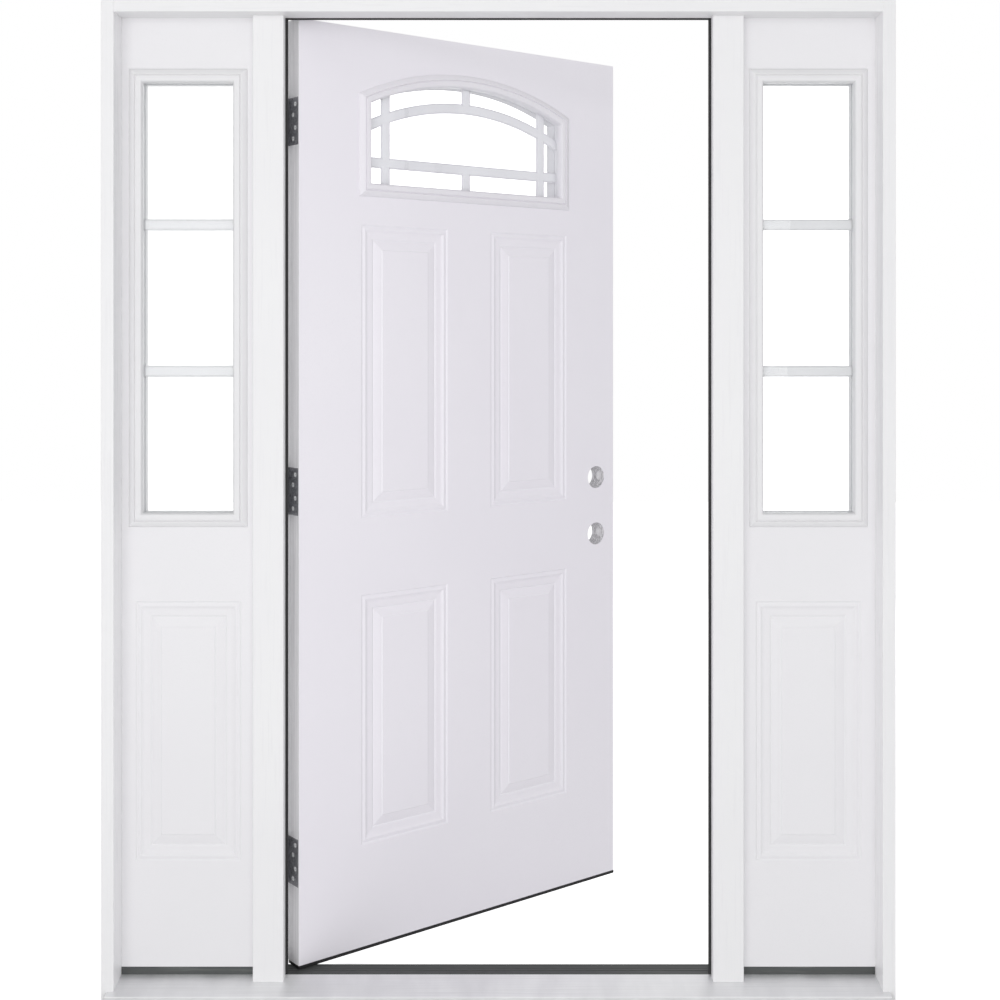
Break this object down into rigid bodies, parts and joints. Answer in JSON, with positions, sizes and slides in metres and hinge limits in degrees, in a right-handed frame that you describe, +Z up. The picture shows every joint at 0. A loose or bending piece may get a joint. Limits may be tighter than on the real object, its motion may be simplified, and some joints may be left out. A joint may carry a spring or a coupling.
{
  "type": "door with sidelights",
  "caption": "Prehung entry door unit: panelled steel leaf with a camber-topped lite, between two fixed sidelights, on a sloped aluminium sill.",
  "frame": {"origin": "middle of the sill's underside, in the plane of the closed leaf's outer face", "axes": "+X to the right seen from outside, +Y inwards, +Z up"},
  "size_m": [1.642, 0.7002, 2.0725],
  "materials": {
    "primed_frame": "white primed, satin",
    "primed_steel": "white primed steel skin, satin",
    "primed_slab": "white primed, satin",
    "lite_frame": "white moulded, satin",
    "grille": "white painted bars",
    "glass": "clear",
    "stile": "white primed edge",
    "foam": "rigid foam",
    "sill_aluminium": "mill finish",
    "sill_core": "composite",
    "threshold": "dark composite",
    "seal": "dark foam seal",
    "hinge_steel": "dark plated"
  },
  "bodies": {
    "frame": {"left_jamb": "primed_frame", "right_jamb": "primed_frame", "head_jamb": "primed_frame", "left_mull_post": "primed_frame", "right_mull_post": "primed_frame", "left_mull_casing": "primed_frame", "right_mull_casing": "primed_frame", "sill_base": "sill_core", "sill_deck": "sill_aluminium", "threshold_cap": "threshold", "sidelite_rails": "threshold", "hinge_side_seal": "seal", "latch_side_seal": "seal", "head_seal": "seal", "corner_pads": "seal", "hinge_pins": "hinge_steel", "left_sidelite_panel": "primed_slab", "left_sidelite_outer_lite_frame": "lite_frame", "left_sidelite_inner_lite_frame": "lite_frame", "left_sidelite_glass": "glass", "left_sidelite_grille": "grille", "right_sidelite_panel": "primed_slab", "right_sidelite_outer_lite_frame": "lite_frame", "right_sidelite_inner_lite_frame": "lite_frame", "right_sidelite_glass": "glass", "right_sidelite_grille": "grille", "bottom_hinge_jamb_leaf": "hinge_steel", "middle_hinge_jamb_leaf": "hinge_steel", "top_hinge_jamb_leaf": "hinge_steel"},
    "leaf": {"leaf_outer_skin": "primed_steel", "leaf_inner_skin": "primed_steel", "leaf_hinge_stile": "stile", "leaf_latch_stile": "stile", "leaf_lock_block": "stile", "leaf_top_rail": "stile", "leaf_bottom_rail": "stile", "leaf_core": "foam", "leaf_outer_lite_frame": "lite_frame", "leaf_inner_lite_frame": "lite_frame", "leaf_glass": "glass", "leaf_grille": "grille", "leaf_sweep": "seal", "bottom_hinge_door_leaf": "hinge_steel", "middle_hinge_door_leaf": "hinge_steel", "top_hinge_door_leaf": "hinge_steel"}
  },
  "joints": [
    {"name": "leaf_swing", "type": "hinge", "parent": "frame", "child": "leaf", "pos_m": [-0.4565, 0.05095, 1.0445], "axis": [0, 0, 1], "range_deg": [-38.3, 81.7]}
  ]
}
